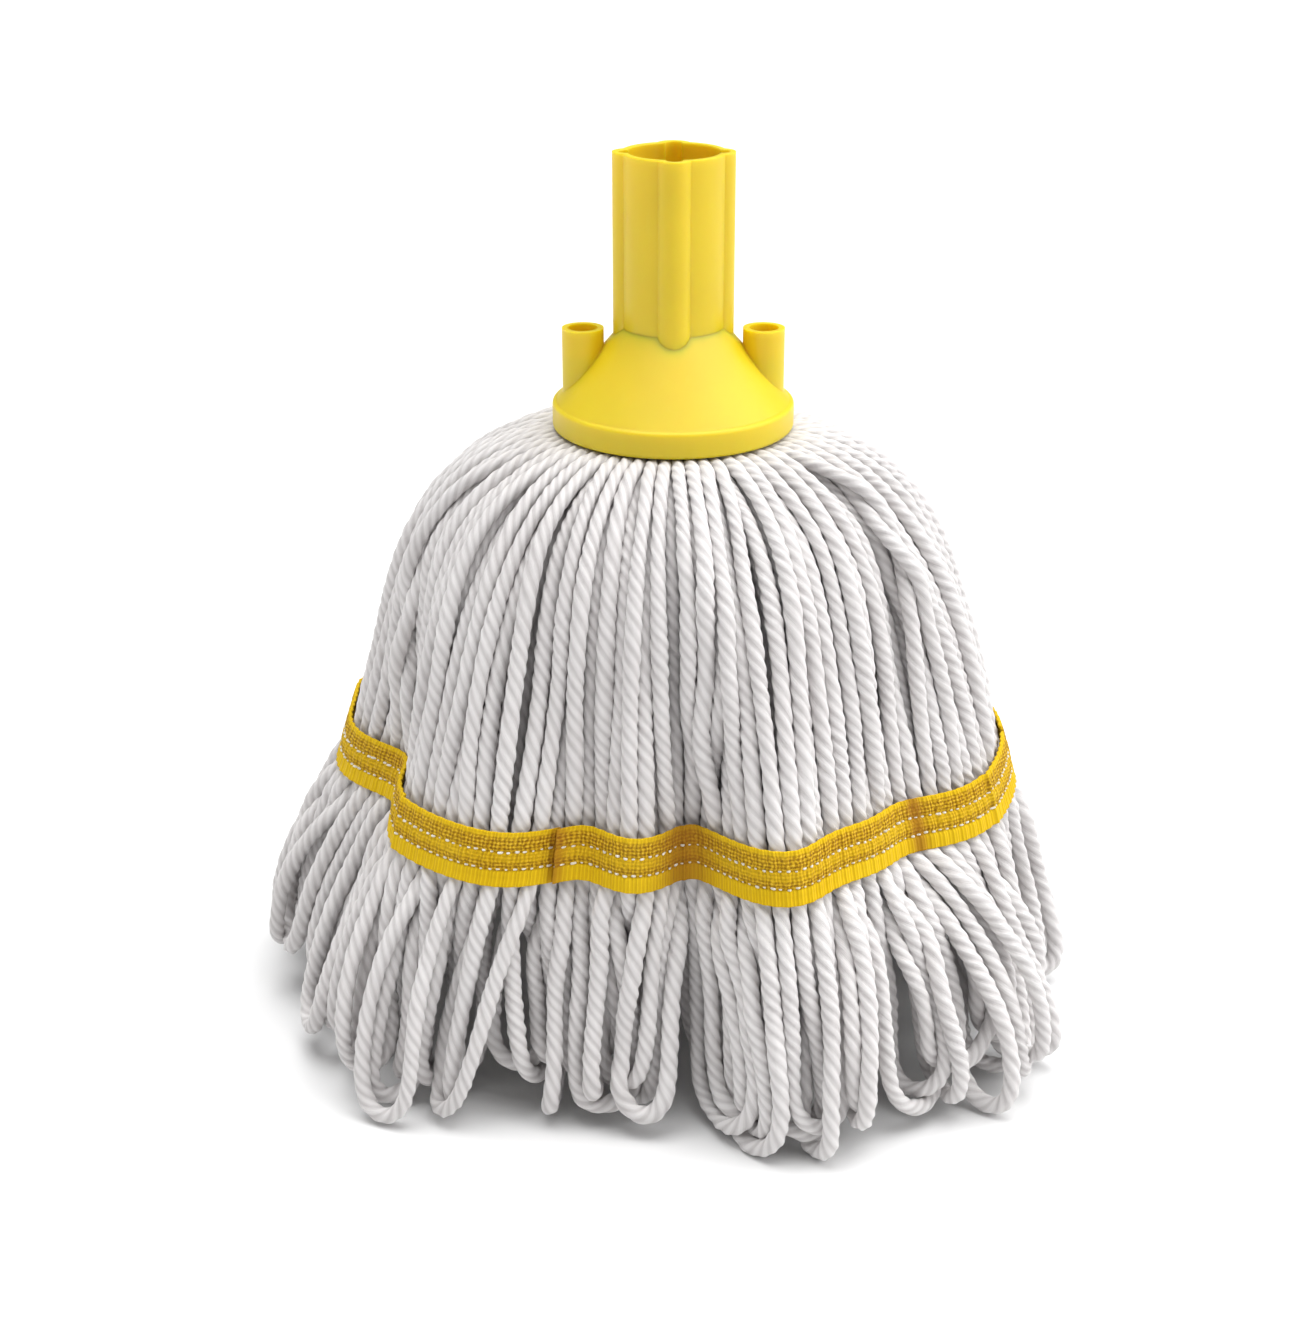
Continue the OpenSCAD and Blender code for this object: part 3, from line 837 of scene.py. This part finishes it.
def plastic_material():
    """Moulded yellow plastic: satin, a little milky, with fine flow marks and handling scuffs."""
    s = Shader("socket_plastic")
    place = s.place()
    cloud = s.noise(place, 28.0, 2.0)
    grain = s.noise(place, 1400.0, 3.0)
    split = s.node("ShaderNodeSeparateXYZ", {0: place})
    streaks = s.noise(s.vector(s.math("MULTIPLY", split.outputs["X"], 260.0),
                               s.math("MULTIPLY", split.outputs["Y"], 260.0),
                               s.math("MULTIPLY", split.outputs["Z"], 30.0)), 1.0, 4.0)
    scuffs = s.ramp(streaks, (0.60, (0, 0, 0)), (0.72, (1, 1, 1)))
    colour = s.ramp(cloud, (0.35, (0.655, 0.485, 0.003)), (0.65, (0.715, 0.53, 0.005)))
    colour = s.mix(s.math("MULTIPLY", scuffs, 0.10), colour, (0.72, 0.60, 0.10))
    rough = s.math("ADD", 0.46, s.math("MULTIPLY", scuffs, 0.14))
    rounded = s.node("ShaderNodeBevel", {"Radius": 0.0007}, samples=6).outputs["Normal"]
    from_foot = s.math("ABSOLUTE", s.math("SUBTRACT", split.outputs["Z"], (SOCKET_HIGH[2] - 1.3) * MM))
    away = s.math("GREATER_THAN", from_foot, 2.2 * MM)      # no rounding where the tube's foot meets the cone
    plain = s.node("ShaderNodeNewGeometry").outputs["Normal"]
    corner = s.node("ShaderNodeMix", data_type="VECTOR")
    for socket, value in ((corner.inputs[0], away), (corner.inputs[4], plain), (corner.inputs[5], rounded)):
        s.put(socket, value)
    rounded = corner.outputs[1]
    height = s.math("ADD", s.math("MULTIPLY", grain, 0.5), streaks)
    s.set(Base_Color=colour, Roughness=rough, Specular_IOR_Level=0.5, Subsurface_Weight=0.75,
          Subsurface_Scale=0.006, Subsurface_Radius=(1.0, 0.7, 0.15),
          Normal=s.bump(height, 0.08, 0.0002, rounded))
    return s.material


def floor_material():
    s = Shader("floor")
    s.set(Base_Color=(0.8, 0.8, 0.8, 1), Roughness=0.9, Specular_IOR_Level=0.1)
    return s.material


def cover(node, material):
    """Give a CAD object of the frame a better material."""
    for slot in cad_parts[node].material_slots:
        slot.material = material


# ---------------------------------------------------------------- camera, floor and light
def make_camera():
    """The photograph's viewpoint: 0.66 m in front, 0.39 m up, looking down 22.85 degrees."""
    camera = bpy.data.cameras.new("camera")
    camera.sensor_width = 36
    camera.lens = 62.7
    camera.clip_start = 0.01
    obj = bpy.data.objects.new("camera", camera)
    obj.location = (-0.006, -0.661, 0.394)
    obj.rotation_euler = (math.radians(90 - 22.85), 0, 0)
    bpy.context.scene.collection.objects.link(obj)
    bpy.context.scene.camera = obj


def make_sun(name, place, width, strength):
    """A broad, even light from the direction of a place; width is the angle it covers, in degrees."""
    data = bpy.data.lights.new(name, "SUN")
    data.angle = math.radians(width)
    data.energy = strength
    obj = bpy.data.objects.new(name, data)
    obj.location = place
    obj.rotation_euler = (-Vector(place)).to_track_quat("-Z", "Y").to_euler()
    bpy.context.scene.collection.objects.link(obj)


def make_studio():
    """A plain pale floor, an even white surround and three broad lights."""
    half = 12000.0
    corners = np.array([[-half, -half, 0], [half, -half, 0], [half, half, 0], [-half, half, 0]])
    face = np.array([[0, 1, 2, 3]])
    make_mesh("studio_floor", corners, [face], [corners[face][..., :2] * MM], floor_material())
    world = bpy.data.worlds.new("studio")
    world.use_nodes = True
    background = world.node_tree.nodes["Background"]
    background.inputs["Color"].default_value = (1, 1, 1, 1)
    background.inputs["Strength"].default_value = 0.31
    bpy.context.scene.world = world
    bpy.context.scene.view_settings.view_transform = "Standard"
    make_sun("key", (1.5, -0.15, 1.3), 65, 2.4)
    make_sun("fill", (-1.3, -0.2, 1.3), 65, 0.45)
    make_sun("top", (0.0, 0.1, 2.0), 50, 2.8)


def main():
    make_camera()
    yarn, tape, thread, plastic = yarn_material(), tape_material(), thread_material(), plastic_material()
    make_yarn(yarn)
    make_gathered_yarn(yarn)
    for flap in FLAPS:
        made = make_tape(flap, tape)
        for place, row in zip(SEAMS, ("upper", "lower")):
            make_stitches(flap, made, place, f"{flap}_stitches_{row}", thread)
    make_centre_tape(tape)
    for node in ("socket", "handle_tube", "clamp_plate"):
        cover(node, plastic)
    make_studio()


main()
